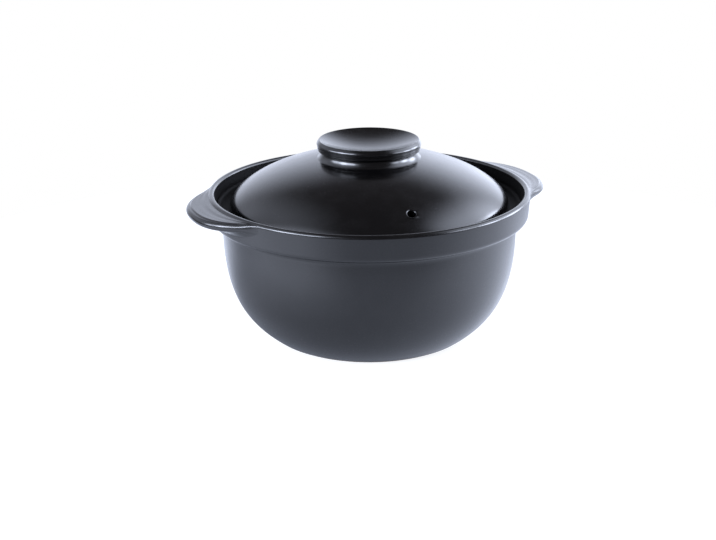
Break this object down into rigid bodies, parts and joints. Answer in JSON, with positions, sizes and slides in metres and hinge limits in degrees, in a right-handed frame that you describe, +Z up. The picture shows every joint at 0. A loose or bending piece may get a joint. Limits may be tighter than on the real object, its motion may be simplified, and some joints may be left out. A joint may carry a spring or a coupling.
{
  "type": "covered clay pot",
  "caption": "Round black-glazed clay cooking pot with a domed lid that sits inside a raised rim, fluted lug handles, a steam vent and a dished knob; the lid lifts off.",
  "frame": {"origin": "centre of the foot ring, on the surface that the pot stands on", "axes": "+X through the middle of the right lug, +Y away from the front, +Z up along the pot's axis"},
  "size_m": [0.2538, 0.22, 0.1363],
  "materials": {
    "pot_glaze": "satin black glaze",
    "lid_glaze": "satin black glaze"
  },
  "bodies": {
    "pot": {"pot_body": "pot_glaze", "left_lug_handle": "pot_glaze", "right_lug_handle": "pot_glaze"},
    "lid": {"lid_dome": "lid_glaze", "lid_knob": "lid_glaze"}
  },
  "joints": [
    {"name": "lid_lift", "type": "slide", "parent": "pot", "child": "lid", "axis": [0, 0, 1], "range_m": [0, 0.2]}
  ]
}
